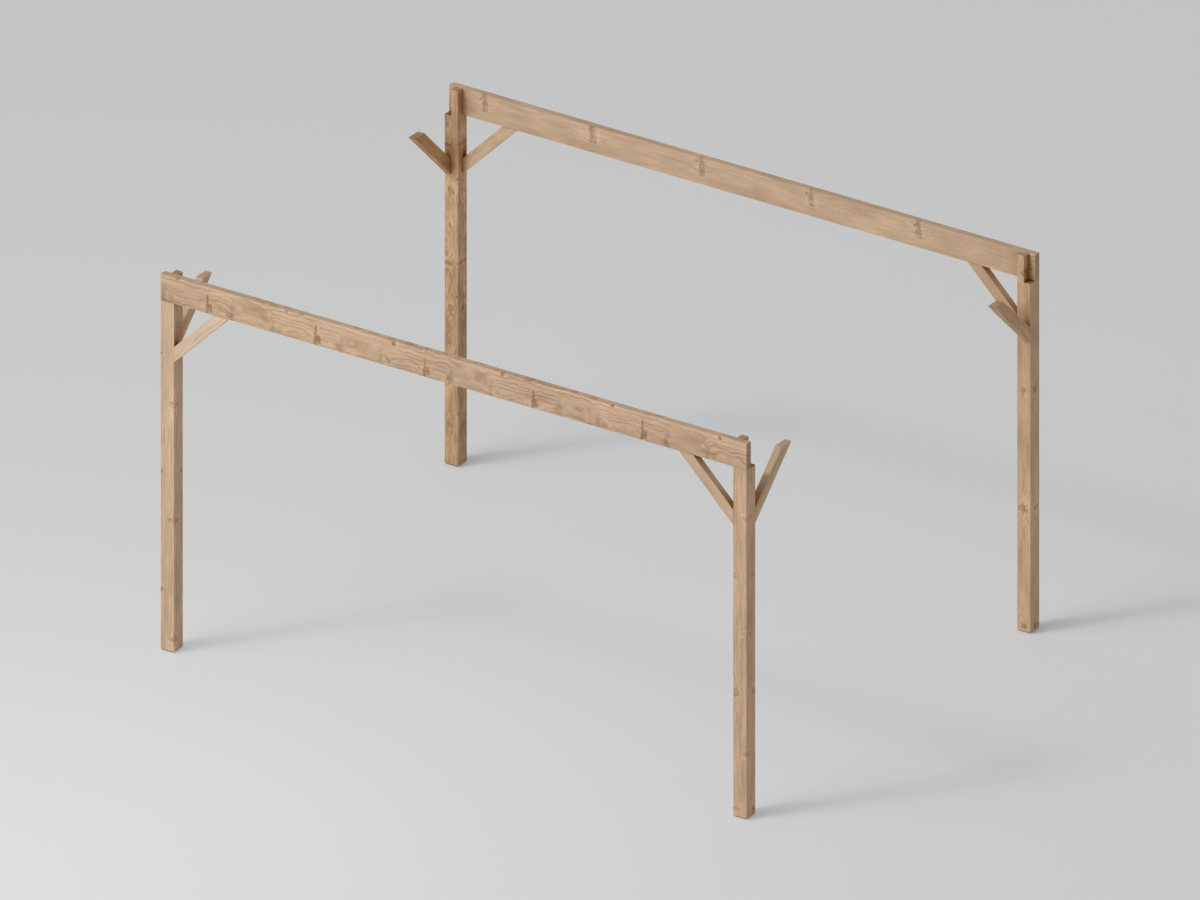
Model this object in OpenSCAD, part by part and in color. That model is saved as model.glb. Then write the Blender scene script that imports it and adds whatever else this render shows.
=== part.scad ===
// Timber pergola of two portal frames that face each other.
// Each frame is two square posts, one beam lapped into the post heads, and a knee brace at each end.
// A second brace on every post leans towards the other frame, below an open seat for a cross-beam.
// Millimetres, +Z up, +X along the beams. The origin is on the ground at the middle of the footprint.

/* [Footprint] */
// Overall width, along the beams
pergola_w = 4000; // [2400:50:5000]
// Overall depth, from the front faces to the back faces
pergola_d = 3000; // [2000:50:4500]
// Height to the top of the beams
pergola_h = 2375; // [1800:5:3000]

/* [Posts] */
// Side of the square posts
post_side = 92; // [80:1:140]
// Chamfer round the foot of each post
foot_chamfer = 10; // [4:0.5:16]

/* [Beams] */
// Thickness of the beams, which is also how deep they are lapped into the post heads
beam_t = 46; // [30:1:60]
// Depth of the beams
beam_h = 166; // [120:1:220]

/* [Cross-beam seats] */
// Thickness of the cross-beam that each post head has a seat for
cross_beam_t = 46; // [30:1:60]
// Depth of that cross-beam
cross_beam_h = 166; // [120:1:220]

/* [Braces] */
// Thickness of the braces
brace_t = 46; // [30:1:60]
// Depth of the braces, square to their length
brace_h = 69; // [45:1:95]
// Reach of a brace along the post, and along what it carries, from their inner corner
brace_reach = 370; // [250:5:600]

/* [Edges] */
// Radius of the rounded arrises along the planed edges
arris = 3; // [1:0.5:3.5]
// Chamfer round the sawn beam ends
end_chamfer = 2; // [0.5:0.5:3]

/* [Hidden] */
timber = "#c3a281";
// Sides of a full circle, of which each rounded arris is a quarter
$fn = 32;
beam_z = pergola_h - beam_h;
cross_beam_z = pergola_h - cross_beam_h;
left_x = -pergola_w / 2;
front_y = -pergola_d / 2;
// Length of a brace's mitre, which is cut at 45 degrees
mitre = brace_h * sqrt(2);
// What a cutting solid reaches beyond the timber that it cuts
over = 10;

// Puts what is drawn at the front left corner at the right, at the back, or at both
module at_corner(right, back) {
    mirror([right ? 1 : 0, 0, 0])
        mirror([0, back ? 1 : 0, 0])
            children();
}

// Section of a planed timber: a rectangle with its corner at the origin and its arrises rounded
module planed_section(w, h) {
    translate([arris, 0])
        square([w - 2 * arris, h]);
    translate([0, arris])
        square([w, h - 2 * arris]);
    for (x = [arris, w - arris], y = [arris, h - arris])
        translate([x, y])
            circle(arris);
}

// Rectangle with its corner at the origin and its corners cut off by the chamfer of a sawn end
module chamfered_outline(w, h) {
    polygon([
        [end_chamfer, 0], [w - end_chamfer, 0], [w, end_chamfer], [w, h - end_chamfer],
        [w - end_chamfer, h], [end_chamfer, h], [0, h - end_chamfer], [0, end_chamfer],
    ]);
}

// Four wedges that chamfer the lower end of a square timber standing on the ground
module foot_wedges() {
    for (turn = [0 : 90 : 270])
        translate([post_side / 2, post_side / 2, 0])
            rotate([90, 0, turn])
                translate([0, 0, -post_side / 2 - over])
                    linear_extrude(post_side + 2 * over)
                        polygon([
                            [post_side / 2 + over, -over],
                            [post_side / 2 + over, foot_chamfer + over],
                            [post_side / 2 - foot_chamfer - over, -over],
                        ]);
}

// Post of the front left corner. Its head keeps one tongue, at the corner nearest the middle:
// the front is cut away for the beam and the outer side for the cross-beam.
module post() {
    color(timber)
        translate([left_x, front_y, 0])
            difference() {
                linear_extrude(pergola_h)
                    planed_section(post_side, post_side);
                translate([-over, -over, beam_z])
                    cube([post_side + 2 * over, beam_t + over, beam_h + over]);
                translate([-over, beam_t, cross_beam_z])
                    cube([cross_beam_t + over, post_side - beam_t + over, cross_beam_h + over]);
                foot_wedges();
            }
}

// Beam of the front frame, as long as the frame is wide and flush with the front of the posts
module beam() {
    color(timber)
        translate([left_x, front_y, beam_z])
            intersection() {
                rotate([90, 0, 90])
                    linear_extrude(pergola_w)
                        planed_section(beam_t, beam_h);
                linear_extrude(beam_h)
                    chamfered_outline(pergola_w, beam_t);
                translate([0, beam_t, 0])
                    rotate([90, 0, 0])
                        linear_extrude(beam_t)
                            chamfered_outline(pergola_w, beam_h);
            }
}

// One brace, with the inner corner of the post and what the post carries at the origin.
// It runs out along +X and up, with its outer side on Y = 0, and both ends are mitred at 45 degrees.
module brace() {
    color(timber)
        intersection() {
            translate([0, brace_t, 0])
                rotate([90, 0, 0])
                    linear_extrude(brace_t)
                        polygon([
                            [0, -brace_reach], [brace_reach, 0],
                            [brace_reach - mitre, 0], [0, mitre - brace_reach],
                        ]);
            translate([0, 0, -brace_reach])
                rotate([0, -45, 0])
                    translate([-brace_h, 0, 0])
                        rotate([90, 0, 90])
                            linear_extrude(brace_reach * sqrt(2) + 2 * brace_h)
                                planed_section(brace_t, brace_h);
        }
}

// Knee brace under the beam, flush with the front of post and beam
module beam_brace() {
    translate([left_x + post_side, front_y, beam_z])
        brace();
}

// Brace under the cross-beam seat, flush with the outer side of the post
module side_brace() {
    translate([left_x, front_y + post_side, cross_beam_z])
        mirror([1, -1, 0])
            brace();
}

at_corner(false, false) post();  // front_left_post
at_corner(true, false) post();  // front_right_post
at_corner(false, true) post();  // back_left_post
at_corner(true, true) post();  // back_right_post
at_corner(false, false) beam();  // front_beam
at_corner(false, true) beam();  // back_beam
at_corner(false, false) beam_brace();  // front_left_beam_brace
at_corner(true, false) beam_brace();  // front_right_beam_brace
at_corner(false, true) beam_brace();  // back_left_beam_brace
at_corner(true, true) beam_brace();  // back_right_beam_brace
at_corner(false, false) side_brace();  // front_left_side_brace
at_corner(true, false) side_brace();  // front_right_side_brace
at_corner(false, true) side_brace();  // back_left_side_brace
at_corner(true, true) side_brace();  // back_right_side_brace
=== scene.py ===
# %% [markdown]
# # A timber pergola, from planed bars to a finished picture
# The pergola is two portal frames that face each other: square posts, a beam lapped into their heads,
# and braces cut at 45 degrees. The lesson shapes each timber as a joiner would, and then gives it
# grain, knots and end grain. The frame holds the measured parts. All new pieces are made in metres, in
# that same frame, so they need no fitting.

# %% Load the measured frame
import bmesh
import bpy
import math
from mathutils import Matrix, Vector


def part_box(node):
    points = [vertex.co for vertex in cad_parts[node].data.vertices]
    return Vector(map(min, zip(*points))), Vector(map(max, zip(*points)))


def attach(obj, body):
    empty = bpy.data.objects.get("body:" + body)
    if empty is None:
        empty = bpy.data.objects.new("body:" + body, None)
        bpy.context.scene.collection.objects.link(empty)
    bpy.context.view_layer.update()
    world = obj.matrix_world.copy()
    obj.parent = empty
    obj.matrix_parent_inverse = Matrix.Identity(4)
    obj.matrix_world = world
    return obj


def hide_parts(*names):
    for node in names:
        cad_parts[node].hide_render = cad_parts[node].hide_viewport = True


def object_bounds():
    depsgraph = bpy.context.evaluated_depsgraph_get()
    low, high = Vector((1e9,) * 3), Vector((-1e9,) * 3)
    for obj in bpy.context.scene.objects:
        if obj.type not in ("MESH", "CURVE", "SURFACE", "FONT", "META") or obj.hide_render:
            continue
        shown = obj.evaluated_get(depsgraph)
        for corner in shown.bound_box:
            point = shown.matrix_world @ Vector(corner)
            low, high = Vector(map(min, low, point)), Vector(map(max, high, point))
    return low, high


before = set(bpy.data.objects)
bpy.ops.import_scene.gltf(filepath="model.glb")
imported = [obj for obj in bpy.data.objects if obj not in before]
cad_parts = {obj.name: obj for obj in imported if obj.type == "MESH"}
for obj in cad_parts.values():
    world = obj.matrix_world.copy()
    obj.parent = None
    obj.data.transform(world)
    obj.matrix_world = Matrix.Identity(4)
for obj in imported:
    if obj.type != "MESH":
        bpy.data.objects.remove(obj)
cad_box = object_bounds()
cad_corners = [tuple(round(v, 3) for v in corner) for corner in cad_box]
print("frame:", len(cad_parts), "timbers, box", cad_corners)

# %% [markdown]
# ## The sizes to work from
# A joiner marks all timbers from the same few lines: the faces of the posts, the underside of the
# beams, and where the braces end. They are read here from the front left corner of the frame, so a
# changed frame changes the pieces.

# %% Read the marking-out lines
post_low, post_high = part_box("front_left_post")
beam_low, beam_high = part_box("front_beam")
beam_brace_low, beam_brace_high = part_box("front_left_beam_brace")
side_brace_low, side_brace_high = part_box("front_left_side_brace")
SHOULDER_Z = beam_low.z
SEAT_Z = side_brace_high.z
BEAM_BACK_Y = beam_high.y
CHEEK_X = side_brace_high.x
BRACE_REACH = beam_brace_high.x - post_high.x
# Edge sizes in metres, the steps that round an edge, and the difference that counts as none
ARRIS = 0.003
FOOT_CHAMFER = 0.010
END_CHAMFER = 0.002
SAWN_EDGE = 0.0007
ROUND_STEPS = 4
BURR_STEPS = 2
HAIR = 5e-5
# An edge counts as sharp above the first angle, and a face is shaded smooth below the second
SHARP_ANGLE = math.radians(40)
SMOOTH_ANGLE = math.radians(35)
# A hip of the foot's chamfer runs along the diagonal of a cube, so it rises by this share of its length
HIP_RISE = 1 / math.sqrt(3)
RIGHT = Vector((1, 0, 0))
BACK = Vector((0, 1, 0))
UP = Vector((0, 0, 1))
# Signs that mirror the front left corner to each corner, in x and y
CORNERS = {
    "front_left": (1, 1),
    "front_right": (-1, 1),
    "back_left": (1, -1),
    "back_right": (-1, -1),
}
post_side = post_high.x - post_low.x
print(f"post {post_side:.3f} m square, shoulder {SHOULDER_Z:.3f} m up, braces reach {BRACE_REACH:.3f} m")

# %% [markdown]
# ## Selecting by place
# By hand you would click on edges and faces. In a script the same choice is made by a test on where
# they are: these helpers work in edit mode, select what passes the test, and leave the rest alone.
# The loaded frame is still selected, so every new block starts by deselecting all.

# %% Selection and block helpers
def start_block(name, low, high):
    """Add a cube that fills the box from low to high, with its place and size applied to the mesh."""
    bpy.ops.object.select_all(action="DESELECT")
    bpy.ops.mesh.primitive_cube_add(size=1, location=(low + high) / 2, scale=high - low)
    block = bpy.context.object
    block.name = name
    block.data.name = name
    bpy.ops.object.transform_apply(location=True, rotation=True, scale=True)
    return block


def pick_faces(block, test):
    """Select the faces of the block in edit mode whose centre and normal pass the test."""
    mesh = bmesh.from_edit_mesh(block.data)
    bpy.ops.mesh.select_mode(type="FACE")
    bpy.ops.mesh.select_all(action="DESELECT")
    for face in mesh.faces:
        face.select_set(bool(test(face.calc_center_median(), face.normal)))
    bmesh.update_edit_mesh(block.data)


def pick_edges(block, test):
    """Select the edges of the block in edit mode that pass the test."""
    mesh = bmesh.from_edit_mesh(block.data)
    bpy.ops.mesh.select_mode(type="EDGE")
    bpy.ops.mesh.select_all(action="DESELECT")
    chosen = [edge for edge in mesh.edges if test(edge)]
    for edge in chosen:
        edge.select_set(True)
    bmesh.update_edit_mesh(block.data)


def share_along(edge, way):
    """How much of an edge's length runs along a way: 1 if all of it does, 0 if it crosses it."""
    return abs((edge.verts[1].co - edge.verts[0].co).normalized().dot(way))


def runs_along(edge, way):
    """True for an edge that runs along a way, forwards or backwards."""
    return share_along(edge, way) > 0.99


def looks_up(facing):
    """True for the normal of a level face that looks up."""
    return facing.z > 0.9


def is_sharp(edge):
    """True for an outward edge that is sharper than the facets of a rounded arris."""
    return len(edge.link_faces) == 2 and edge.is_convex and edge.calc_face_angle() > SHARP_ANGLE


def near(value, target):
    """True within a twentieth of a millimetre."""
    return abs(value - target) < HAIR


# %% [markdown]
# ## A post with its cut head
# A post is a square bar. Its head is cut back from two sides, for the beam and for a cross-beam, so
# that only one tongue is left at the inner corner. You could saw that away with two Boolean cubes. Here
# the shaft stops at the shoulder, its top is divided by two bisects, and the one quarter that stays is
# extruded up. This leaves a clean mesh. The foot is chamfered first, then the planed arrises are
# rounded, and the saw-cut edges only lose their burr.

# %% Model the front left post
def model_post():
    """The post of the front left corner, from the ground to the top of its tongue."""
    post = start_block("post_master", post_low, Vector((post_high.x, post_high.y, SHOULDER_Z)))
    bpy.ops.object.mode_set(mode="EDIT")
    for place, normal in (((CHEEK_X, 0, 0), (1, 0, 0)), ((0, BEAM_BACK_Y, 0), (0, 1, 0))):
        pick_faces(post, lambda centre, facing: looks_up(facing))
        bpy.ops.mesh.bisect(plane_co=place, plane_no=normal)
    pick_faces(post, lambda c, facing: looks_up(facing) and c.x > CHEEK_X and c.y > BEAM_BACK_Y)
    bpy.ops.mesh.extrude_region_move(TRANSFORM_OT_translate={"value": (0, 0, post_high.z - SHOULDER_Z)})
    bpy.ops.mesh.select_all(action="SELECT")
    bpy.ops.mesh.dissolve_limited(angle_limit=math.radians(1))

    pick_edges(post, lambda edge: all(near(v.co.z, 0) for v in edge.verts))
    bpy.ops.mesh.bevel(offset=FOOT_CHAMFER, segments=1)
    corner = [(x, y) for x in (post_low.x, post_high.x) for y in (post_low.y, post_high.y)]

    def is_arris(edge):
        at_corner = any(near(edge.verts[0].co.x, x) and near(edge.verts[0].co.y, y) for x, y in corner)
        at_foot = max(v.co.z for v in edge.verts) < 2 * FOOT_CHAMFER
        hip = at_foot and abs(share_along(edge, UP) - HIP_RISE) < 0.05
        return (runs_along(edge, UP) and at_corner) or hip

    pick_edges(post, is_arris)
    bpy.ops.mesh.bevel(offset=ARRIS, segments=ROUND_STEPS, profile=0.5)
    pick_edges(post, lambda edge: is_sharp(edge) and min(v.co.z for v in edge.verts) > SHOULDER_Z - HAIR)
    bpy.ops.mesh.bevel(offset=SAWN_EDGE, segments=BURR_STEPS, profile=0.5)
    bpy.ops.object.mode_set(mode="OBJECT")
    return post


post_master = model_post()
print("post:", len(post_master.data.polygons), "faces")

# %% [markdown]
# ## A beam
# The beam is a deep planed plank. Its long arrises are rounded by the planer, and its ends are sawn off
# and then broken with a block plane. So the long edges get a round bevel first, and the edges of the
# two ends a small chamfer.

# %% Model the front beam
def model_beam():
    """The beam of the front frame, flush with the outer faces of the posts."""
    beam = start_block("beam_master", beam_low, beam_high)
    bpy.ops.object.mode_set(mode="EDIT")
    pick_edges(beam, lambda edge: runs_along(edge, RIGHT))
    bpy.ops.mesh.bevel(offset=ARRIS, segments=ROUND_STEPS, profile=0.5)
    pick_edges(beam, lambda edge: not runs_along(edge, RIGHT))
    bpy.ops.mesh.bevel(offset=END_CHAMFER, segments=BURR_STEPS, profile=0.5)
    bpy.ops.object.mode_set(mode="OBJECT")
    return beam


beam_master = model_beam()
print("beam:", len(beam_master.data.polygons), "faces")

# %% [markdown]
# ## A brace
# A brace starts as a planed bar with rounded arrises. It is tilted to 45 degrees, slid to its corner,
# and sawn twice: upright where it meets the post and level where it carries the beam. Bisect with fill
# is that saw. Modelling the bar first keeps the rounded arrises running out into the cuts, as on the
# real timber.

# %% Model the two braces of the front left corner
# The level top of a brace shows its depth cut at 45 degrees
side_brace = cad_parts["front_left_side_brace"]
spots = [side_brace.matrix_world @ vertex.co for vertex in side_brace.data.vertices]
sawn_top = [spot.y for spot in spots if near(spot.z, SEAT_Z)]
BRACE_SECTION = (max(sawn_top) - min(sawn_top)) / math.sqrt(2)


def model_brace(name, low, high, corner, along):
    """A brace in the box from low to high. Post and beam meet at the corner, and along is its level way."""
    across = Vector((along.y, along.x, 0))
    thickness = (high - low).dot(across)
    reach = (high - low).dot(along)
    length = reach * math.sqrt(2)
    half = along * length + across * (thickness / 2) + UP * (BRACE_SECTION / 2)
    bar = start_block(name, -half, half)
    bpy.ops.object.mode_set(mode="EDIT")
    pick_edges(bar, lambda edge: runs_along(edge, along))
    bpy.ops.mesh.bevel(offset=ARRIS, segments=ROUND_STEPS, profile=0.5)
    bpy.ops.object.mode_set(mode="OBJECT")

    middle = corner + along * (reach / 2) - UP * (reach / 2)
    middle += (UP - along) * (BRACE_SECTION / 2 / math.sqrt(2))
    middle += across * ((low + high).dot(across) / 2 - middle.dot(across))
    tilt = math.radians(45)
    bar.rotation_euler = (0, -tilt, 0) if along.x > 0.5 else (tilt, 0, 0)
    bar.location = middle
    bpy.ops.object.transform_apply(location=True, rotation=True, scale=True)
    bpy.ops.object.mode_set(mode="EDIT")
    for normal in (-along, UP):
        bpy.ops.mesh.select_all(action="SELECT")
        bpy.ops.mesh.bisect(plane_co=corner, plane_no=normal, use_fill=True, clear_outer=True)
    pick_edges(bar, is_sharp)
    bpy.ops.mesh.bevel(offset=SAWN_EDGE, segments=BURR_STEPS, profile=0.5)
    bpy.ops.object.mode_set(mode="OBJECT")
    return bar


beam_corner = Vector((post_high.x, post_low.y, SHOULDER_Z))
side_corner = Vector((post_low.x, post_high.y, SEAT_Z))
beam_brace_master = model_brace("beam_brace_master", beam_brace_low, beam_brace_high, beam_corner, RIGHT)
side_brace_master = model_brace("side_brace_master", side_brace_low, side_brace_high, side_corner, BACK)
print(f"braces: {BRACE_SECTION:.4f} m deep,", len(side_brace_master.data.polygons), "faces each")

# %% [markdown]
# ## Copies for the other corners
# The other corners mirror the first one. A copy gets a mesh of its own, is mirrored by a negative scale
# that is then applied, and has its normals turned outwards again. Weighted normals keep the wide faces
# flat beside their arrises.

# %% Copy each master to its corners
def mirrored_copy(master, name, mirror_x, mirror_y):
    """A copy of the master with a mesh of its own, mirrored in each direction whose sign is -1."""
    bpy.ops.object.select_all(action="DESELECT")
    master.select_set(True)
    bpy.context.view_layer.objects.active = master
    bpy.ops.object.duplicate(linked=False)
    copy = bpy.context.object
    copy.name = name
    copy.data.name = name
    copy.scale = (mirror_x, mirror_y, 1)
    bpy.ops.object.transform_apply(location=True, rotation=True, scale=True)
    bpy.ops.object.mode_set(mode="EDIT")
    bpy.ops.mesh.select_all(action="SELECT")
    bpy.ops.mesh.normals_make_consistent(inside=False)
    bpy.ops.object.mode_set(mode="OBJECT")
    bpy.ops.object.shade_smooth_by_angle(angle=SMOOTH_ANGLE)
    bpy.ops.object.modifier_add(type="WEIGHTED_NORMAL")
    copy.modifiers[-1].keep_sharp = True
    bpy.ops.object.modifier_apply(modifier=copy.modifiers[-1].name)
    return copy


CORNER_KINDS = {"post": post_master, "beam_brace": beam_brace_master, "side_brace": side_brace_master}
timbers = {}
for corner_name, (mirror_x, mirror_y) in CORNERS.items():
    for kind, master in CORNER_KINDS.items():
        node = f"{corner_name}_{kind}"
        timbers[node] = mirrored_copy(master, f"{node}_timber", mirror_x, mirror_y)
for side, mirror_y in (("front", 1), ("back", -1)):
    timbers[f"{side}_beam"] = mirrored_copy(beam_master, f"{side}_beam_timber", 1, mirror_y)
for master in (post_master, beam_master, beam_brace_master, side_brace_master):
    bpy.data.objects.remove(master)
print("timbers:", sorted(timbers))

# %% [markdown]
# ## Wiring helpers
# A wood finish is a long chain of small nodes. By hand you would drag them in the shader editor. These
# helpers add a node, plug each input with a value or with another node's socket, and give back the
# socket that comes out.

# %% Node helpers
def paint(code):
    """A colour written as on a paint card, such as c9ae92, in the renderer's own values."""
    values = [int(code[i:i + 2], 16) / 255 for i in (0, 2, 4)]
    return [v / 12.92 if v <= 0.04045 else ((v + 0.055) / 1.055) ** 2.4 for v in values] + [1]


def add_node(tree, kind, inputs, **settings):
    """Add a shader node, set it up, and plug its inputs with sockets or plain values."""
    made = tree.nodes.new("ShaderNode" + kind)
    for name, value in settings.items():
        setattr(made, name, value)
    for name, value in inputs.items():
        if isinstance(value, bpy.types.NodeSocket):
            tree.links.new(value, made.inputs[name])
        else:
            made.inputs[name].default_value = value
    return made


def math_node(tree, operation, *values):
    """The result of a Math node on one to three values or sockets."""
    return add_node(tree, "Math", dict(enumerate(values)), operation=operation).outputs[0]


def vector_node(tree, operation, *values):
    """The result of a Vector Math node on one or two vectors or sockets."""
    made = add_node(tree, "VectorMath", dict(enumerate(values)), operation=operation)
    return made.outputs["Value" if operation in ("LENGTH", "DISTANCE") else "Vector"]


def split(tree, vector):
    """The three parts of a vector."""
    return add_node(tree, "SeparateXYZ", {0: vector}).outputs


def join(tree, x, y, z):
    """A vector from three parts."""
    return add_node(tree, "CombineXYZ", {"X": x, "Y": y, "Z": z}).outputs[0]


def ease(tree, value, start, end, low=0.0, high=1.0):
    """A smooth step from low to high while the value goes from start to end."""
    inputs = {"Value": value, "From Min": start, "From Max": end, "To Min": low, "To Max": high}
    return add_node(tree, "MapRange", inputs, interpolation_type="SMOOTHSTEP").outputs[0]


def blend_colour(tree, share, first, second, way="MIX"):
    """Two colours blended by a share."""
    inputs = {"Factor_Float": share, "A_Color": first, "B_Color": second}
    made = tree.nodes.new("ShaderNodeMix")
    made.data_type = "RGBA"
    made.blend_type = way
    sockets = {socket.identifier: socket for socket in made.inputs}
    for name, value in inputs.items():
        if isinstance(value, bpy.types.NodeSocket):
            tree.links.new(value, sockets[name])
        else:
            sockets[name].default_value = value
    return made.outputs[2]


# %% [markdown]
# ## Noise that follows the timber
# Wood has no two equal spots, but its marks are long and thin: they follow the fibres. So each noise
# gets its own frequency along the timber and across it. A low first number and high others draw the
# spots out into streaks.

# %% Noise helpers
def noise(tree, place, stretch, seed=0.0, detail=2.0, roughness=0.5, output="Fac"):
    """Noise at a place, with its own frequency per metre along each axis."""
    spot = vector_node(tree, "MULTIPLY", place, stretch)
    inputs = {"Vector": spot, "W": seed, "Scale": 1.0, "Detail": detail, "Roughness": roughness}
    return add_node(tree, "TexNoise", inputs, noise_dimensions="4D").outputs[output]


# Noise and chances run from 0 to 1, so this is their average in three directions
HALFWAY = (0.5, 0.5, 0.5)


def sway(tree, place, stretch, seed, amount):
    """A vector that wanders by up to about the amount, from noise at a place."""
    wander = noise(tree, place, stretch, seed, detail=3.0, roughness=0.55, output="Color")
    wander = vector_node(tree, "SUBTRACT", wander, HALFWAY)
    return vector_node(tree, "MULTIPLY", wander, tuple(2 * part for part in amount))


def add_share(tree, total, noise_value, amount):
    """A total with a share of a noise added, so that the average stays as it was."""
    centred = math_node(tree, "SUBTRACT", noise_value, 0.5)
    return math_node(tree, "MULTIPLY_ADD", centred, amount, total)


def new_group(name, inputs, outputs):
    """An empty node group with its own input and output sockets. A list is a colour, a tuple a place."""
    group = bpy.data.node_groups.new(name, "ShaderNodeTree")
    kinds = {float: "NodeSocketFloat", tuple: "NodeSocketVector", list: "NodeSocketColor"}
    for label, value in inputs.items():
        socket = group.interface.new_socket(label, in_out="INPUT", socket_type=kinds[type(value)])
        socket.default_value = value
    for label, kind in outputs.items():
        group.interface.new_socket(label, in_out="OUTPUT", socket_type=kinds[kind])
    return group, group.nodes.new("NodeGroupInput").outputs, group.nodes.new("NodeGroupOutput").inputs


# %% [markdown]
# ## Knots
# A knot is the root of a branch, a slim cone that runs out from the pith. Where the saw crosses it you
# see a dark round core with rings of its own, a darker rim of bark, and grain that flows around it. Cut
# along its length, the same cone shows as a long spike. One group makes both: it measures the distance
# from the branch's own axis. Branches grow in whorls, one whorl for each year's height, so the group
# repeats itself along the timber.

# %% Build the knot group
# Metres from whorl to whorl, and the range in which chance moves a branch: along, across and deep
WHORL = 0.742
STRAY = (0.012, 0.006, 0.008)


def whorl_place(tree, given):
    """The place relative to the nearest whorl, a little unsettled, and that whorl's own chance."""
    x, y, z = split(tree, given["Place"])
    way = math_node(tree, "SUBTRACT", x, given["First"])
    whorl = math_node(tree, "ROUND", math_node(tree, "DIVIDE", way, WHORL))
    way = math_node(tree, "MULTIPLY_ADD", whorl, -WHORL, way)
    chance_inputs = {"W": math_node(tree, "ADD", whorl, given["Seed"])}
    chance = add_node(tree, "TexWhiteNoise", chance_inputs, noise_dimensions="1D").outputs
    shift = vector_node(tree, "SUBTRACT", chance["Color"], HALFWAY)
    shift = vector_node(tree, "MULTIPLY", shift, STRAY)
    wobble = sway(tree, given["Place"], (30.0, 45.0, 45.0), given["Seed"], (0.5, 0.5, 0.5))
    ragged = join(tree, given["Ragged"], given["Ragged"], given["Ragged"])
    shift = vector_node(tree, "ADD", shift, vector_node(tree, "MULTIPLY", wobble, ragged))
    spot = vector_node(tree, "ADD", join(tree, way, y, z), shift)
    return vector_node(tree, "SUBTRACT", spot, given["Axis"]), chance["Value"]


def build_knot():
    """A row of branches along a timber: core, rim, rings, and how far they push the growth rings out."""
    tree, given, out = new_group(
        "branch_knots",
        {"Place": (0.0, 0.0, 0.0), "First": 0.0, "Axis": (0.0, 0.0, 0.0), "Turn": (0.0, 0.0, 0.0),
         "Radius": 0.012, "Taper": 0.0, "Start": -1.0, "Reach": 1.0, "Strength": 1.0, "Edge": 1.0,
         "Ragged": 0.02, "Seed": 0.0},
        {"Core": float, "Rim": float, "Rings": float, "Pull": float},
    )
    spot, chance = whorl_place(tree, given)
    inputs = {"Vector": spot, "Rotation": given["Turn"]}
    spot = add_node(tree, "VectorRotate", inputs, rotation_type="EULER_XYZ", invert=True).outputs[0]
    along, across, depth = split(tree, spot)

    # A branch tapers along its own depth, and chance makes it a little thinner or thicker
    grown = math_node(tree, "MULTIPLY_ADD", depth, given["Taper"], 1.0)
    grown = math_node(tree, "MAXIMUM", grown, 0.2)
    size = math_node(tree, "MULTIPLY_ADD", chance, 0.35, 0.82)
    radius = math_node(tree, "MULTIPLY", math_node(tree, "MULTIPLY", given["Radius"], grown), size)
    # The ratio is 1 at the bark. The flow is the same distance, drawn out along the fibres
    flat = join(tree, along, across, 0.0)
    ratio = math_node(tree, "DIVIDE", vector_node(tree, "LENGTH", flat), radius)
    flow = vector_node(tree, "LENGTH", vector_node(tree, "MULTIPLY", flat, (0.4, 1.0, 0.0)))
    flow = math_node(tree, "DIVIDE", flow, radius)
    # The branch fades in at its start and out at its reach
    reach = math_node(tree, "SUBTRACT", given["Reach"], depth)
    start = math_node(tree, "SUBTRACT", depth, given["Start"])
    inside = math_node(tree, "MULTIPLY", ease(tree, reach, 0.0, 0.006), ease(tree, start, 0.0, 0.012))

    # Blotches break up the core and the rim, so that no knot is a clean disc
    blotch = noise(tree, given["Place"], (42.0, 42.0, 42.0), given["Seed"], detail=1.0)
    blotch = ease(tree, blotch, 0.36, 0.62, 0.35, 1.0)
    shown = math_node(tree, "MULTIPLY", inside, math_node(tree, "MULTIPLY", blotch, given["Strength"]))
    core = math_node(tree, "MULTIPLY", ease(tree, ratio, 0.72, 1.14, 1.0, 0.0), shown)
    gap = math_node(tree, "ABSOLUTE", math_node(tree, "SUBTRACT", ratio, 1.0))
    rim = math_node(tree, "MULTIPLY", ease(tree, gap, 0.0, 0.34, 1.0, 0.0), given["Edge"])
    rim = math_node(tree, "MULTIPLY", rim, shown)
    # A sine gives about two rings inside the bark
    rings = math_node(tree, "SINE", math_node(tree, "MULTIPLY", ratio, 13.0))
    rings = math_node(tree, "MULTIPLY", ease(tree, rings, -1.0, 1.0), core)
    # The growth rings bulge around the branch, and the bulge dies away as a bell does
    pull = math_node(tree, "MULTIPLY", math_node(tree, "POWER", flow, 2.0), -0.45)
    pull = math_node(tree, "EXPONENT", pull)
    pull = math_node(tree, "MULTIPLY", math_node(tree, "MULTIPLY", pull, radius), inside)
    for label, value in (("Core", core), ("Rim", rim), ("Rings", rings), ("Pull", pull)):
        tree.links.new(value, out[label])
    return tree


knot_group = build_knot()
print("knots:", len(knot_group.nodes), "nodes")

# %% [markdown]
# ## Growth rings
# Softwood grows a pale wide band in spring and a thin dark one in summer. In three dimensions these
# rings are long nested tubes around the pith. A flat plank shows them as stripes, as arches where the
# pith wanders, and as arcs on its sawn end. So the finish is not painted on: each point asks how far it
# lies from the pith of its own tree.

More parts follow.
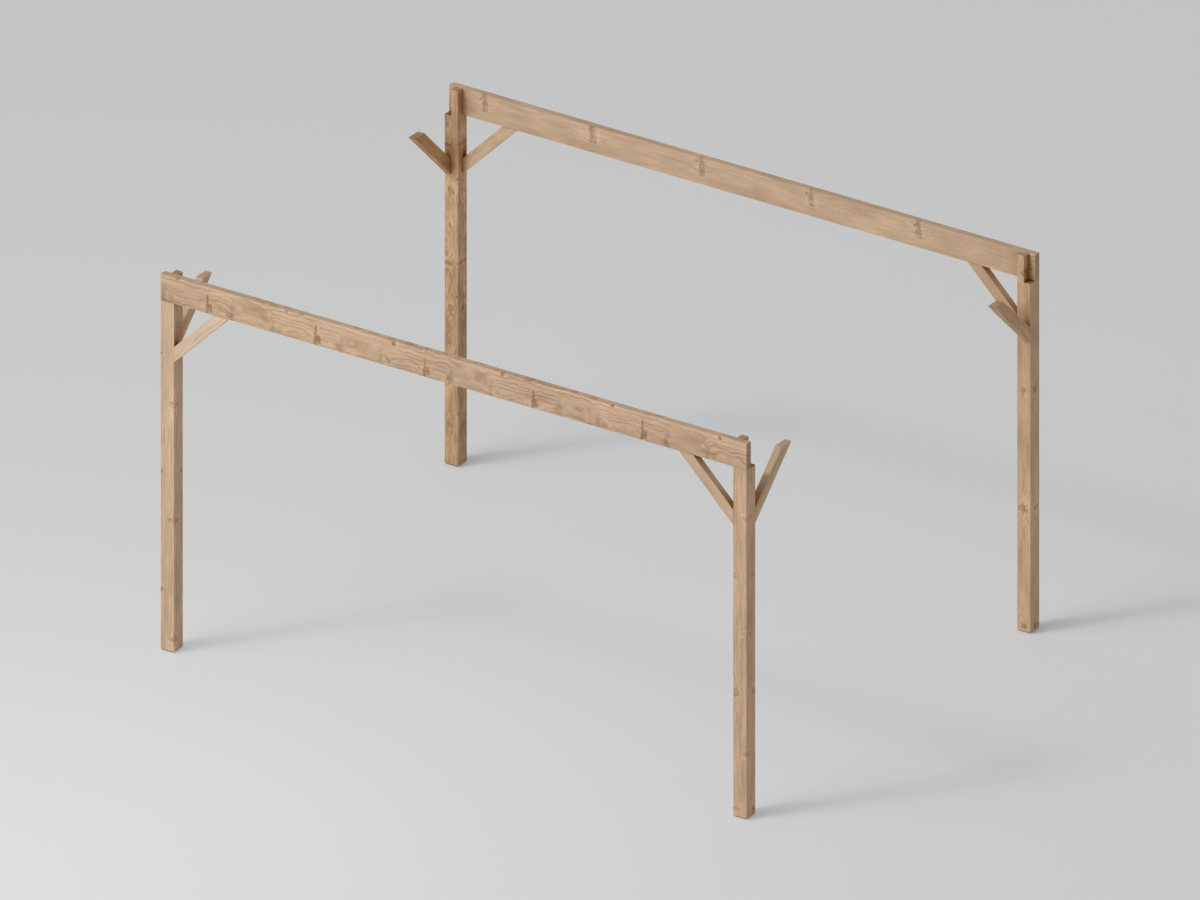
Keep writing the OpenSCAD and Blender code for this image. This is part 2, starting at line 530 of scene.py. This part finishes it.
# %% Count the years at a point
def swell_between_whorls(tree, given):
    """How much the rings swell between two whorls, fading to the upper edge, and how steep its ends are."""
    x, _, z = split(tree, given["Place"])
    fray = noise(tree, given["Place"], (9.0, 22.0, 22.0), given["Seed"], detail=3.0, roughness=0.6)
    ragged = add_share(tree, x, fray, 0.07)
    turn = math_node(tree, "SUBTRACT", ragged, given["Swell Start"])
    wave = math_node(tree, "COSINE", math_node(tree, "MULTIPLY", turn, 2 * math.pi / WHORL))
    swell = ease(tree, wave, 0.20, 0.62)
    steep = math_node(tree, "MULTIPLY", swell, math_node(tree, "SUBTRACT", 1.0, swell))
    low = math_node(tree, "MULTIPLY", ease(tree, z, 0.083, -0.05), given["Swell"])
    return math_node(tree, "MULTIPLY", swell, low), math_node(tree, "MULTIPLY", steep, low)


def years_from_pith(tree, given, bend):
    """How many growth rings lie between a place and the wandering pith, and how many metres."""
    place, seed = given["Place"], given["Seed"]
    x = split(tree, place)[0]
    roam = sway(tree, join(tree, x, 0.0, 0.0), (1.7, 0.0, 0.0), seed, (0.0, 0.010, 0.010))
    from_pith = vector_node(tree, "SUBTRACT", vector_node(tree, "ADD", place, roam), given["Pith"])
    radius = vector_node(tree, "LENGTH", vector_node(tree, "MULTIPLY", from_pith, (0.0, 1.0, 1.0)))
    years = math_node(tree, "DIVIDE", math_node(tree, "ADD", radius, bend), given["Ring"])
    uneven = noise(tree, join(tree, years, 0.0, 0.0), (0.43, 0.0, 0.0), seed, detail=1.0)
    return math_node(tree, "MULTIPLY_ADD", uneven, 1.6, years), radius


def seasons(tree, years):
    """The shares of dark summer wood, slow to come and sharp to stop, and of the palest first wood."""
    season = math_node(tree, "FRACT", years)
    summer = ease(tree, season, 0.25, 0.90)
    summer = math_node(tree, "MULTIPLY", summer, ease(tree, season, 0.91, 1.0, 1.0, 0.0))
    year = {"W": math_node(tree, "FLOOR", years)}
    weather = add_node(tree, "TexWhiteNoise", year, noise_dimensions="1D").outputs["Value"]
    summer = math_node(tree, "MULTIPLY", summer, math_node(tree, "MULTIPLY_ADD", weather, 0.7, 0.3))
    return summer, ease(tree, season, 0.22, 0.0)


# %% [markdown]
# ## Fibres, ends and edges
# Between the rings, fine fibres and resin flecks run along the timber, and slow clouds of colour cross
# it. Where the saw cut across the fibres they drink more light, so sawn ends are darker and duller. The
# rounded arrises are paler, partly from wear and partly as a painted highlight. The top of a beam and
# the foot of a post get painted shade. The outer wood of a trunk is paler than its heart. Recesses get
# painted shade that deepens to a golden brown. All of it is one group, so that every timber shares the
# same wood and differs only in its settings.

# %% Build the wood group
# How often each mark repeats in a metre, along the fibres and across them
PER_METRE = {
    "bend": (12.0, 14.0), "fade": (3.2, 15.0), "fibre": (6.0, 420.0), "streak": (5.5, 90.0),
    "patch": (7.0, 24.0), "cloud": (1.9, 8.0), "fleck": (16.0, 300.0), "curl": (9.0, 130.0),
}
# How far the painted shade of a recess reaches, in metres, and how much red, green and blue it takes away
RECESS_SHADE_REACH = 0.11
RECESS_SHADE_LOSS = (0.66, 1.02, 1.46)


def mark(tree, kind, place, seed, detail=2.0, roughness=0.5):
    """Noise for one kind of mark, drawn out along the fibres."""
    along, across = PER_METRE[kind]
    return noise(tree, place, (along, across, across), seed, detail, roughness)


def painted_recess_shade(tree):
    """Painted shade: white in the open, golden brown in recesses, but not where a foot meets the ground."""
    open_share = add_node(tree, "AmbientOcclusion", {"Distance": RECESS_SHADE_REACH}, samples=4).outputs["AO"]
    height = split(tree, add_node(tree, "TexCoord", {}).outputs["Object"])[2]
    hidden = math_node(tree, "SUBTRACT", 1.0, open_share)
    hidden = math_node(tree, "MULTIPLY", hidden, ease(tree, height, 0.1, 0.4))
    parts = [math_node(tree, "MULTIPLY_ADD", hidden, -loss, 1.0) for loss in RECESS_SHADE_LOSS]
    return join(tree, *[math_node(tree, "MAXIMUM", part, 0.05) for part in parts])


def build_wood():
    """Planed softwood at a place in a timber, with x along its length: colour, roughness and height."""
    tree, given, out = new_group(
        "planed_softwood",
        {"Place": (0.0, 0.0, 0.0), "Facing": (1.0, 0.0, 0.0),
         "Core": 0.0, "Rim": 0.0, "Rings": 0.0, "Pull": 0.0,
         "Pith": (0.0, 0.0, 0.0), "Ring": 0.009, "Ripple": 0.010, "Swell": 0.0, "Swell Start": 0.0,
         "Figure": 1.0, "Mottle": 1.0, "Sapwood": 0.0, "Dust": 0.0, "Damp": 0.0, "Tone": 1.0, "Seed": 0.0,
         "Spring": paint("cfae8d"), "Summer": paint("a78362"),
         "Branch": paint("967549"), "Bark": paint("6a4e30")},
        {"Color": list, "Roughness": float, "Height": float},
    )
    place, seed = given["Place"], given["Seed"]
    swell, steep = swell_between_whorls(tree, given)
    bend = add_share(tree, given["Pull"], mark(tree, "bend", place, seed, detail=3.0), given["Ripple"])
    years, radius = years_from_pith(tree, given, math_node(tree, "ADD", bend, swell))
    summer, fresh = seasons(tree, years)
    faded = ease(tree, mark(tree, "fade", place, seed), 0.36, 0.60, 0.25, 1.0)
    shown = math_node(tree, "MULTIPLY_ADD", steep, -40.0, faded)
    shown = math_node(tree, "MAXIMUM", math_node(tree, "MULTIPLY", shown, given["Figure"]), 0.0)
    summer = math_node(tree, "MULTIPLY", summer, shown)
    bent = vector_node(tree, "ADD", place, join(tree, 0.0, bend, bend))
    fibre = mark(tree, "fibre", bent, seed, detail=3.0, roughness=0.6)
    streak = mark(tree, "streak", bent, seed, roughness=0.6)
    patch = mark(tree, "patch", bent, seed)
    cloud = mark(tree, "cloud", place, seed)
    fleck = ease(tree, mark(tree, "fleck", bent, seed), 0.66, 0.76)

    # The shade is 1 on average, and each mark lightens or darkens it by its own weight
    shade = add_share(tree, 0.0, streak, 0.42)
    shade = add_share(tree, shade, patch, 0.34)
    shade = add_share(tree, shade, cloud, 0.42)
    shade = math_node(tree, "MULTIPLY_ADD", shade, given["Mottle"], 1.0)
    shade = add_share(tree, shade, fibre, 0.26)
    shade = math_node(tree, "MULTIPLY_ADD", fleck, -0.10, shade)
    shade = math_node(tree, "MULTIPLY_ADD", steep, -13.0, shade)
    shade = math_node(tree, "MULTIPLY_ADD", math_node(tree, "MULTIPLY", fresh, shown), 0.05, shade)
    # Sapwood: below 0 near the pith, and 1 well away from it
    inputs = {"Value": radius, "From Min": 0.065, "From Max": 0.195, "To Min": -0.35, "To Max": 1.0}
    outer = add_node(tree, "MapRange", inputs).outputs[0]
    shade = math_node(tree, "MULTIPLY_ADD", outer, given["Sapwood"], shade)
    shade = math_node(tree, "MULTIPLY", shade, given["Tone"])
    # Curly grain beside a knot is paler
    curl = ease(tree, mark(tree, "curl", bent, seed), 0.48, 0.66)
    curl = math_node(tree, "MULTIPLY", curl, math_node(tree, "MULTIPLY", given["Pull"], 18.0))
    shade = math_node(tree, "ADD", shade, math_node(tree, "MINIMUM", curl, 0.16))

    # Colours, from the growth rings up to the bark of the knots
    summer_share = math_node(tree, "MULTIPLY", summer, 0.85)
    colour = blend_colour(tree, summer_share, given["Spring"], given["Summer"])
    ring_share = math_node(tree, "MULTIPLY", given["Rings"], 0.6)
    branch = blend_colour(tree, ring_share, given["Branch"], given["Summer"])
    colour = blend_colour(tree, math_node(tree, "MULTIPLY", given["Core"], 0.78), colour, branch)
    colour = blend_colour(tree, math_node(tree, "MULTIPLY", given["Rim"], 0.55), colour, given["Bark"])

    # What a face looks like by the way it faces: painted shade on a top and a foot, darker sawn ends, paler
    # arrises
    endways, _, upward = split(tree, given["Facing"])
    # Painted shade: faces that look up come out darker
    shaded_top = math_node(tree, "MULTIPLY", ease(tree, upward, 0.8, 0.97), given["Dust"])
    shade = math_node(tree, "MULTIPLY", shade, math_node(tree, "SUBTRACT", 1.0, shaded_top))
    # Painted shade: faces that look down, at a post's foot, come out darker
    foot = math_node(tree, "MULTIPLY", ease(tree, endways, -0.3, -0.6), given["Damp"])
    shade = math_node(tree, "MULTIPLY", shade, math_node(tree, "SUBTRACT", 1.0, foot))
    facing = split(tree, vector_node(tree, "ABSOLUTE", given["Facing"]))
    ends = ease(tree, facing[0], 0.5, 0.9)
    flattest = math_node(tree, "MAXIMUM", math_node(tree, "MAXIMUM", facing[1], facing[2]), facing[0])
    # A rounded arris comes out paler, partly from wear and partly as a painted highlight
    wear_and_highlight = ease(tree, flattest, 0.98, 0.80)
    shade = math_node(tree, "MULTIPLY", shade, math_node(tree, "MULTIPLY_ADD", ends, -0.24, 1.0))
    shade = math_node(tree, "MULTIPLY", shade, math_node(tree, "MULTIPLY_ADD", wear_and_highlight, 0.08, 1.0))
    # Darker wood is also warmer: green and blue fall faster than red
    tint = join(tree, shade, math_node(tree, "POWER", shade, 1.1), math_node(tree, "POWER", shade, 1.25))
    colour = blend_colour(tree, 1.0, colour, tint, "MULTIPLY")
    # Painted shade in recesses, deepening to a golden brown
    colour = blend_colour(tree, 1.0, colour, painted_recess_shade(tree), "MULTIPLY")

    roughness = math_node(tree, "MULTIPLY_ADD", fibre, 0.22, 0.50)
    roughness = math_node(tree, "MULTIPLY_ADD", ends, 0.14, roughness)
    roughness = math_node(tree, "MULTIPLY_ADD", summer, -0.08, roughness)
    height = math_node(tree, "MULTIPLY_ADD", fibre, 0.5, math_node(tree, "MULTIPLY", summer, 0.35))
    height = math_node(tree, "MULTIPLY_ADD", given["Rim"], -0.6, height)
    for label, value in (("Color", colour), ("Roughness", roughness), ("Height", height)):
        tree.links.new(value, out[label])
    return tree


wood_group = build_wood()
print("wood:", len(wood_group.nodes), "nodes")

# %% [markdown]
# ## One finish per timber
# Every timber comes from another tree, so each has its own pith, ring width, tone and knots. The recipe
# below turns the object's own coordinates so that x runs along the timber, places the knots, and hands
# everything to the wood group. A weak knot lies just below the face: it shows little of its core, but
# it bends the grain.

# %% Recipe for a timber's finish
def largest(tree, values):
    """The largest of several values at each point."""
    best = values[0]
    for value in values[1:]:
        best = math_node(tree, "MAXIMUM", best, value)
    return best


def total(tree, values):
    """The sum of several values at each point."""
    result = values[0]
    for value in values[1:]:
        result = math_node(tree, "ADD", result, value)
    return result


# Sets the chances of one row of knots apart from those of the next
SEED_STEP = 3.7


def timber_finish(name, start, turn, knots, seed, **wood_settings):
    """A material for one timber, whose length starts at a point and runs along x turned by angles."""
    material = bpy.data.materials.new(name)
    material.use_nodes = True
    tree = material.node_tree
    coordinates = add_node(tree, "TexCoord", {}).outputs
    inputs = {"Vector": coordinates["Object"], "Location": start, "Rotation": turn}
    place = add_node(tree, "Mapping", inputs, vector_type="TEXTURE").outputs[0]
    inputs = {"Vector": coordinates["Normal"], "Rotation": turn}
    facing = add_node(tree, "VectorRotate", inputs, rotation_type="EULER_XYZ", invert=True).outputs[0]

    wood = tree.nodes.new("ShaderNodeGroup")
    wood.node_tree = wood_group
    wood_settings.update(Place=place, Facing=facing, Seed=seed)
    rows = []
    for number, knot in enumerate(knots):
        row = tree.nodes.new("ShaderNodeGroup")
        row.node_tree = knot_group
        tree.links.new(place, row.inputs["Place"])
        row.inputs["Seed"].default_value = seed + SEED_STEP * number
        for label, value in knot.items():
            row.inputs[label].default_value = value
        rows.append(row.outputs)
    if rows:
        wood_settings["Pull"] = total(tree, [row["Pull"] for row in rows])
        for label in ("Core", "Rim", "Rings"):
            wood_settings[label] = largest(tree, [row[label] for row in rows])
    for label, value in wood_settings.items():
        if isinstance(value, bpy.types.NodeSocket):
            tree.links.new(value, wood.inputs[label])
        else:
            wood.inputs[label].default_value = value

    shader = tree.nodes["Principled BSDF"]
    shader.inputs["Specular IOR Level"].default_value = 0.25
    bump = add_node(tree, "Bump", {"Height": wood.outputs["Height"], "Strength": 0.4, "Distance": 0.0008})
    tree.links.new(wood.outputs["Color"], shader.inputs["Base Color"])
    tree.links.new(wood.outputs["Roughness"], shader.inputs["Roughness"])
    tree.links.new(bump.outputs["Normal"], shader.inputs["Normal"])
    return material


def angles(*degrees):
    """Angles in degrees, as Blender wants them."""
    return tuple(math.radians(angle) for angle in degrees)


def spike(first, y, z, lean, radius, taper, start, reach, **more):
    """A branch cut along its length: it lies in the face, upright but for its lean."""
    return {"First": first, "Axis": (0, y, z), "Turn": angles(0, lean, 0), "Radius": radius,
            "Taper": taper, "Start": start, "Reach": reach, **more}


def round_knot(first, y, z, radius, turn=90, **more):
    """A branch cut across, which comes out through a face. A turn of 90 degrees points it at the front."""
    return {"First": first, "Axis": (0, y, z), "Turn": angles(turn, 0, 0), "Radius": radius, **more}


finishes = {}

# %% [markdown]
# ## The wood of the beams
# The front beam is a lively plank: a spike knot every whorl, and a long lens of rings with steep dark
# ends between two whorls. Its pith lies below it, so its upper edge is pale sapwood. The back beam was
# cut far from the pith, so its grain is straight and calm, with one short dark branch for each whorl.

# %% Finish the beams
beam_middle = (beam_low + beam_high) / 2
LEVEL = angles(0, 0, 0)
# Half a beam to the front
BEAM_FACE = -(beam_high.y - beam_low.y) / 2
# The front beam's top gets a little painted shade
finishes["front_beam"] = timber_finish(
    "front_beam_wood", (beam_low.x, beam_middle.y, beam_middle.z), LEVEL,
    [
        round_knot(0.113, BEAM_FACE, 0.074, 0.010, Start=-0.022, Strength=2.4, Edge=0.6),
        spike(0.320, BEAM_FACE, -0.030, 3, 0.007, -4.0, -0.2, 0.072, Strength=1.8, Edge=0.4),
        spike(0.331, BEAM_FACE, -0.030, 4, 0.018, -6.0, -0.046, 0.014, Strength=1.8, Edge=0.2),
        round_knot(0.070, BEAM_FACE, -0.049, 0.016, Strength=0.75, Edge=0.6),
        round_knot(0.472, BEAM_FACE, -0.049, 0.018, Strength=0.7, Edge=0.5),
    ],
    seed=1.3, Pith=(0.0, 0.030, -0.110), Ring=0.0224, Ripple=0.06, Swell=0.085, **{"Swell Start": 0.628},
    Figure=1.15, Mottle=1.2, Sapwood=0.16, Dust=0.05, Tone=0.90, Spring=paint("ccad90"),
)
finishes["back_beam"] = timber_finish(
    "back_beam_wood", (beam_low.x, -beam_middle.y, beam_middle.z), LEVEL,
    [
        spike(0.242, BEAM_FACE, 0.020, -4, 0.018, -3.0, -0.052, 0.2, Edge=0.5),
        round_knot(0.213, BEAM_FACE, 0.053, 0.009, Edge=0.6),
    ],
    seed=5.1, Pith=(0.0, 0.10, 0.16), Ring=0.0085,
    Figure=0.4, Mottle=1.2, Tone=0.985, Spring=paint("ccad90"),
)
print("beam finishes:", list(finishes))

# %% [markdown]
# ## The wood of the posts
# Each post is a square bar from near the middle of a trunk. The front left one has open knots on its
# arris, with pale hearts, and pale sapwood on its right. The front right one only hints at its
# branches. The back left one is the wildest, with dark streaks, and the back right one has small dark
# knots in its faces.

# %% Finish the posts
post_middle = (post_low + post_high) / 2
UPRIGHT = angles(0, -90, 0)
# Half a post to the front in y, and to the right in z
POST_FACE = -(post_high.y - post_low.y) / 2
POST_KNOTS = {
    "front_left": [
        round_knot(0.085, POST_FACE, -0.032, 0.014, 45),
        round_knot(0.389, POST_FACE, 0.044, 0.009, 135, Strength=1.8),
        round_knot(0.389, -POST_FACE, -0.044, 0.009, 135, Strength=1.6),
    ],
    "front_right": [
        round_knot(0.049, POST_FACE, 0.024, 0.018, Strength=0.9, Edge=0.5, Ragged=0.06),
        round_knot(0.419, POST_FACE, -0.030, 0.010, 60, Strength=0.7, Ragged=0.03),
        round_knot(0.049, 0.020, POST_FACE, 0.018, 0, Strength=1.1, Edge=0.4, Ragged=0.06),
    ],
    "back_left": [
        spike(
            0.539, POST_FACE, -POST_FACE, 0, 0.012, 0.0, -0.062, 0.02,
            Strength=1.4, Edge=0.5, Ragged=0.05,
        ),
        round_knot(0.551, 0.0, POST_FACE, 0.009, Strength=1.3, Edge=0.5, Ragged=0.05),
        round_knot(0.257, POST_FACE, 0.004, 0.021, Strength=1.0, Edge=0.6, Ragged=0.07),
        round_knot(0.251, 0.0, POST_FACE, 0.018, 0, Strength=0.7, Edge=0.3, Ragged=0.06),
        round_knot(0.337, POST_FACE, -0.042, 0.007, 45),
        round_knot(0.035, POST_FACE, 0.010, 0.012, Strength=0.6, Edge=0.6, Ragged=0.05),
    ],
    "back_right": [
        round_knot(0.039, POST_FACE, 0.002, 0.024, Strength=1.2, Edge=0.5, Ragged=0.09),
        round_knot(0.039, 0.004, POST_FACE, 0.022, 0, Strength=1.2, Edge=0.5, Ragged=0.09),
    ],
}
POST_WOOD = {
    "front_left": dict(
        Pith=(0.0, 0.03, 0.06), Figure=0.8, Mottle=1.3, Sapwood=0.25, Tone=0.94,
        Spring=paint("ccae92"), Branch=paint("b08c68"), Bark=paint("71533a"),
    ),
    "front_right": dict(
        Pith=(0.0, 0.07, -0.03), Figure=0.7, Mottle=1.2, Tone=0.935, Branch=paint("a58160"),
    ),
    "back_left": dict(
        Pith=(0.0, 0.02, 0.03), Figure=1.2, Mottle=2.3, Ripple=0.02, Tone=0.905, Spring=paint("cdaa84"),
    ),
    "back_right": dict(
        Pith=(0.0, 0.06, 0.04), Figure=0.6, Mottle=1.15, Tone=0.915,
    ),
}
for number, (corner_name, wood_settings) in enumerate(POST_WOOD.items()):
    mirror_x, mirror_y = CORNERS[corner_name]
    foot = (post_middle.x * mirror_x, post_middle.y * mirror_y, 0)
    # Each post gets painted shade on the downward faces of its foot
    finishes[f"{corner_name}_post"] = timber_finish(
        f"{corner_name}_post_wood", foot, UPRIGHT, POST_KNOTS[corner_name], seed=11.0 + 2.3 * number,
        Damp=0.6, **wood_settings,
    )
print("post finishes:", len(POST_WOOD))

# %% [markdown]
# ## The wood of the braces
# Short braces are sawn from straight stuff between two whorls, so they have no knots. Their grain leans
# with them, at 45 degrees, which is what makes a brace strong. They come from several planks, so each
# has its own tint, and two of them are streaky.

# %% Finish the braces
BRACE_TINTS = {
    "front_left_beam_brace": "d7bda1", "front_right_beam_brace": "caac8f", "back_left_beam_brace": "d4b697",
    "back_right_beam_brace": "c6a684", "front_right_side_brace": "d2b695", "back_left_side_brace": "ba9062",
    "back_right_side_brace": "bd9d78", "front_left_side_brace": "cfae8d",
}
STREAKY = ("back_left_side_brace", "back_right_side_brace")
for number, (corner_name, (mirror_x, mirror_y)) in enumerate(CORNERS.items()):
    leans = {
        "beam_brace": angles(0, -45 if mirror_x > 0 else -135, 0),
        "side_brace": angles(0, -45, 90 * mirror_y),
    }
    for kind, lean in leans.items():
        node = f"{corner_name}_{kind}"
        low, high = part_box(node)
        seed = 31.0 + 4.1 * number + (1.7 if kind == "side_brace" else 0)
        finishes[node] = timber_finish(
            f"{node}_wood", (low + high) / 2, lean, [], seed=seed,
            Pith=(0.0, 0.07 + 0.01 * number, 0.05), Ring=0.007, Figure=0.7,
            Mottle=2.4 if node in STREAKY else 1.0, Tone=0.98, Spring=paint(BRACE_TINTS[node]),
        )
print("finishes:", len(finishes))

# %% [markdown]
# ## Putting the finishes on
# Each timber gets its own finish, takes the place of the plain solid with the same name, and rides on
# the one body of the frame, because nothing on a pergola moves.

# %% Dress the timbers and hand them over
for node, timber in timbers.items():
    timber.data.materials.clear()
    timber.data.materials.append(finishes[node])
    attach(timber, "root")
    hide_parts(node)
    kind = "post" if node.endswith("post") else "beam" if node.endswith("_beam") else "brace"
print("dressed:", len(timbers), "timbers,", sum(len(t.data.polygons) for t in timbers.values()), "faces")

# %% [markdown]
# ## The studio floor
# The pergola stands on a plain pale floor. Its colour is painted paler near the front and duller with
# the distance, a painted falloff of light, as paper shows when the lamps stand at the front. It is a wide
# plane, so that no edge shows. Warm lamps shine on it, so its colour is a little cool: lit parts come out
# neutral and shadows bluish. The camera also sees a share of plain glow in it, most at the front, which
# thins the shadows there. The floor belongs to the stage and not to the pergola.

# %% Lay the floor
bpy.ops.object.select_all(action="DESELECT")
bpy.ops.mesh.primitive_plane_add(size=80)
floor = bpy.context.object
floor.name = "studio_floor"
pale = bpy.data.materials.new("pale_floor")
pale.use_nodes = True
tree = pale.node_tree
spot = add_node(tree, "TexCoord", {}).outputs["Object"]
# Painted light: the floor's colour is palest at one place at the front and fades with the distance
PALEST_PLACE = (-0.5, -3.0, 0.0)
PALEST, DULLEST, FADE_LENGTH = 0.892, 0.812, 10.0
away = vector_node(tree, "DISTANCE", spot, PALEST_PLACE)
inputs = {"Value": away, "From Min": 0.0, "From Max": FADE_LENGTH, "To Min": PALEST, "To Max": DULLEST}
level = add_node(tree, "MapRange", inputs).outputs[0]
FLOOR_TINT = (0.92, 0.977, 1.086)
GLOW_PLACE = (-1.5, -5.0, 0.0)
from_glow = vector_node(tree, "DISTANCE", spot, GLOW_PLACE)
glow = ease(tree, from_glow, start=6.0, end=0.0, low=0.73, high=0.865)
own_share = ease(tree, from_glow, start=7.5, end=2.5, low=0.25, high=0.50)
rays = add_node(tree, "LightPath", {}).outputs
in_view = largest(tree, [rays["Is Camera Ray"], rays["Is Glossy Ray"], rays["Is Transmission Ray"]])
seen = math_node(tree, "MULTIPLY", in_view, own_share)
lit = math_node(tree, "MULTIPLY", level, math_node(tree, "SUBTRACT", 1.0, seen))
shader = tree.nodes["Principled BSDF"]
tints = [math_node(tree, "MULTIPLY", lit, tint) for tint in FLOOR_TINT]
tree.links.new(join(tree, *tints), shader.inputs["Base Color"])
tree.links.new(join(tree, level, level, level), shader.inputs["Emission Color"])
tree.links.new(math_node(tree, "MULTIPLY", seen, glow), shader.inputs["Emission Strength"])
shader.inputs["Roughness"].default_value = 0.9
shader.inputs["Specular IOR Level"].default_value = 0.2
floor.data.materials.append(pale)
print("floor:", tuple(floor.dimensions))

# %% [markdown]
# ## The light
# Much of the light is soft and comes from all around, less from above and a little less from the right,
# so that the right sides of the timbers stay in shade. A key from the front left models the timbers.
# Two lamps of the same heading shine on the floor alone and draw its shadows: a narrow one keeps them
# legible, and a wide one deepens them at a foot and lets them fade with the distance. All three are far
# away, so shadows run side by side. A cool wide fill opens the faces that look at you, and a softbox
# near the floor brightens the front. The levels are plain: a colour of the finish comes out about as it
# is written.

# %% Set the light all around
scene = bpy.context.scene
scene.view_settings.view_transform = "Standard"
world = bpy.data.worlds.new("studio")
scene.world = world
world.use_nodes = True
background = world.node_tree.nodes["Background"].inputs
AMBIENT = 0.612
UPPER_SHADE = -0.38
RIGHT_SHADE = (-0.05, -0.10, -0.125)
tree = world.node_tree
sideways, _, upward = split(tree, add_node(tree, "TexCoord", {}).outputs["Generated"])
height_level = math_node(tree, "MULTIPLY_ADD", upward, UPPER_SHADE, AMBIENT)
around = [math_node(tree, "MULTIPLY_ADD", sideways, shade, height_level) for shade in RIGHT_SHADE]
tree.links.new(join(tree, *around), background["Color"])
background["Strength"].default_value = 1.0
print("light all around:", AMBIENT)


# %% Hang the lamps
def aim(item, way):
    """Turn a lamp or a camera so that it looks along the way."""
    item.rotation_mode = "QUATERNION"
    item.rotation_quaternion = way.to_track_quat("-Z", "Y")


def only(name, things):
    """A set of things, for a lamp that lights nothing else."""
    chosen = bpy.data.collections.new(name)
    for thing in things:
        chosen.objects.link(thing)
    return chosen


def add_far_lamp(name, heading, elevation, energy, width, colour, lights=None):
    """A lamp so far away that its light is parallel. It shines along the heading, down by its elevation."""
    bpy.ops.object.light_add(type="SUN", location=(0, 0, 6))
    lamp = bpy.context.object
    lamp.name = name
    rise = math.radians(elevation)
    aim(lamp, Vector((*heading, 0)).normalized() * math.cos(rise) - UP * math.sin(rise))
    lamp.data.energy = energy
    lamp.data.angle = math.radians(width)
    lamp.data.color = colour
    if lights:
        lamp.light_linking.receiver_collection = lights


def add_softbox(name, place, target, size, power, colour):
    """A flat lamp that looks from its place at the target. Its width and height soften the shadows."""
    bpy.ops.object.light_add(type="AREA", location=place)
    lamp = bpy.context.object
    lamp.name = name
    lamp.data.shape = "RECTANGLE"
    lamp.data.size, lamp.data.size_y = size
    lamp.data.energy = power
    lamp.data.color = colour
    lamp.visible_camera = False
    aim(lamp, Vector(target) - lamp.location)


timbers_only = only("timbers_only", timbers.values())
floor_only = only("floor_only", [floor])
KEY_WAY, KEY_RISE = (0.595, 0.804), 50.5
FILL_WAY, FILL_RISE = (0.15, 0.98), 20
NEARLY_WHITE = (1.0, 0.98, 0.965)
WARM = (1.0, 0.87, 0.66)
COOL = (0.80, 0.92, 1.0)
FAINTLY_COOL = (0.96, 0.98, 1.0)
add_far_lamp("key_light", KEY_WAY, KEY_RISE, energy=1.19, width=5, colour=NEARLY_WHITE, lights=timbers_only)
add_far_lamp("floor_key", KEY_WAY, KEY_RISE, energy=0.57, width=9.5, colour=WARM, lights=floor_only)
add_far_lamp("floor_wide", KEY_WAY, KEY_RISE, energy=0.76, width=36, colour=WARM, lights=floor_only)
add_far_lamp("front_fill", FILL_WAY, FILL_RISE, energy=0.16, width=40, colour=COOL)
add_softbox(
    "low_softbox", place=(-4.5, -11, 4), target=(-1, -4, 0), size=(8.0, 4.0), power=280,
    colour=FAINTLY_COOL,
)

# %% [markdown]
# ## The camera
# The picture has no vanishing points: edges that are parallel on the pergola stay parallel. That is an
# orthographic camera, and only its direction and the width of its view matter, not how far away it
# stands.

# %% Place the camera
# The camera looks from the right, the front and above, in these proportions
LOOK_FROM = Vector((2, -3, 1.75))
VIEW_WIDTH = 6.816
STAND_OFF = 20
# It aims this much above the middle of the pergola
AIM_RISE = 0.0065
to_camera = LOOK_FROM.normalized()
aim_point = (cad_box[0] + cad_box[1]) / 2 + UP * AIM_RISE
bpy.ops.object.camera_add(location=aim_point + to_camera * STAND_OFF)
camera = bpy.context.object
camera.name = "studio_camera"
aim(camera, -to_camera)
camera.data.type = "ORTHO"
camera.data.ortho_scale = VIEW_WIDTH
camera.data.clip_end = 200
scene.camera = camera
turned = math.degrees(math.atan2(LOOK_FROM.x, -LOOK_FROM.y))
raised = math.degrees(math.asin(to_camera.z))
print(f"camera: {turned:.2f} degrees round, {raised:.2f} up, {VIEW_WIDTH} m wide")
